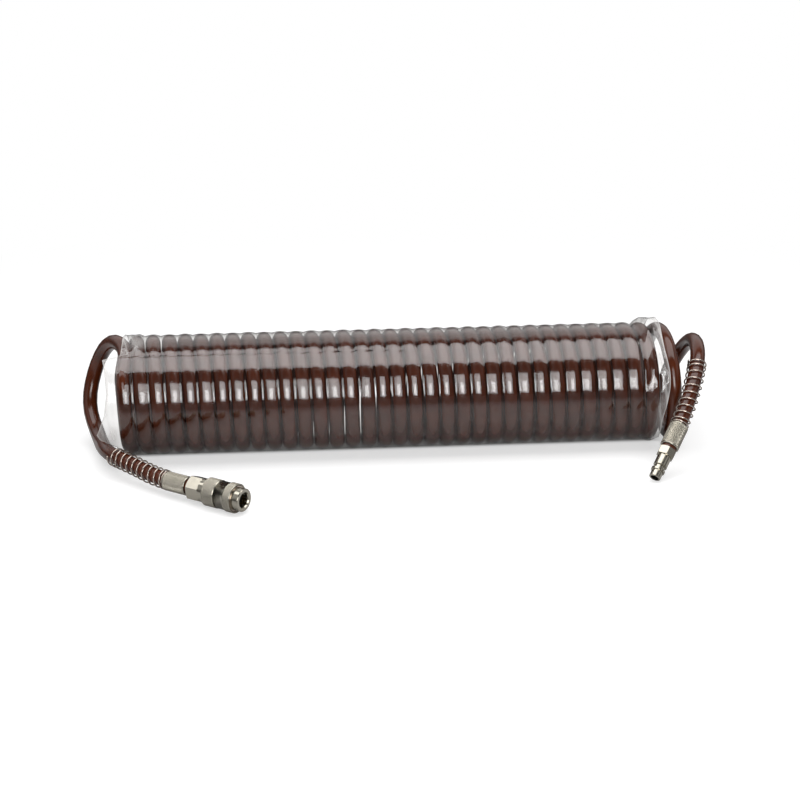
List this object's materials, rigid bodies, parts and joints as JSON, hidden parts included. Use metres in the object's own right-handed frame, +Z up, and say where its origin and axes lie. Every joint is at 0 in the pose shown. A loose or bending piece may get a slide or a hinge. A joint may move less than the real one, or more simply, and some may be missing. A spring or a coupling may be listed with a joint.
{
  "type": "coiled air hose",
  "caption": "Recoil air hose wound into a long wrapped coil, with a sleeve-locked quick coupler on one loose end and its plug on the other.",
  "frame": {"origin": "centre of the footprint, on the floor that the coil lies on", "axes": "+X along the coil from the coupler's end to the plug's end, +Z up, both fittings towards -Y"},
  "size_m": [0.5489, 0.2143, 0.1046],
  "materials": {
    "hose": "glossy dark brown",
    "film": "clear, creased and glossy",
    "nickel": "nickel plate, bright",
    "spring_wire": "bright drawn wire",
    "ball_steel": "polished",
    "valve_brass": "turned",
    "seal": "matt"
  },
  "bodies": {
    "hose_assembly": {"hose_coil": "hose", "hose_tail_coupler": "hose", "hose_tail_plug": "hose", "shrink_film": "film", "coupler_bend_spring": "spring_wire", "coupler_hose_ferrule": "nickel", "coupler_rear_body": "nickel", "coupler_front_body": "nickel", "coupler_retaining_ring": "spring_wire", "coupler_body_seal": "seal", "coupler_plug_seal": "seal", "coupler_sleeve_spring": "spring_wire", "coupler_valve_spring": "spring_wire", "plug_bend_spring": "spring_wire", "plug_hose_ferrule": "nickel", "plug_body": "nickel"},
    "sleeve": {"coupler_sleeve": "nickel"},
    "valve": {"coupler_valve_poppet": "valve_brass", "coupler_valve_seal": "seal"},
    "ball_1": {"coupler_locking_ball_1": "ball_steel"},
    "ball_2": {"coupler_locking_ball_2": "ball_steel"},
    "ball_3": {"coupler_locking_ball_3": "ball_steel"},
    "ball_4": {"coupler_locking_ball_4": "ball_steel"}
  },
  "joints": [
    {"name": "sleeve_slide", "type": "slide", "parent": "hose_assembly", "child": "sleeve", "axis": [-0.788, 0.6157, 0], "range_m": [0, 0.004], "stiffness_N_per_m": 2000, "springref_m": -0.006, "deforming": ["coupler_sleeve_spring"]},
    {"name": "valve_slide", "type": "slide", "parent": "hose_assembly", "child": "valve", "axis": [-0.788, 0.6157, 0], "range_m": [0, 0.0042], "stiffness_N_per_m": 800, "springref_m": -0.004, "deforming": ["coupler_valve_spring"]},
    {"name": "ball_1_lift", "type": "slide", "parent": "hose_assembly", "child": "ball_1", "axis": [-0.4353, -0.5572, 0.7071], "range_m": [0, 0.0011]},
    {"name": "ball_2_lift", "type": "slide", "parent": "hose_assembly", "child": "ball_2", "axis": [0.4353, 0.5572, 0.7071], "range_m": [0, 0.0011]},
    {"name": "ball_3_lift", "type": "slide", "parent": "hose_assembly", "child": "ball_3", "axis": [0.4353, 0.5572, -0.7071], "range_m": [0, 0.0011]},
    {"name": "ball_4_lift", "type": "slide", "parent": "hose_assembly", "child": "ball_4", "axis": [-0.4353, -0.5572, -0.7071], "range_m": [0, 0.0011]}
  ],
  "couplings": [
    {"joint": "ball_1_lift", "follows": "sleeve_slide", "ratio": 0.275},
    {"joint": "ball_2_lift", "follows": "sleeve_slide", "ratio": 0.275},
    {"joint": "ball_3_lift", "follows": "sleeve_slide", "ratio": 0.275},
    {"joint": "ball_4_lift", "follows": "sleeve_slide", "ratio": 0.275}
  ]
}
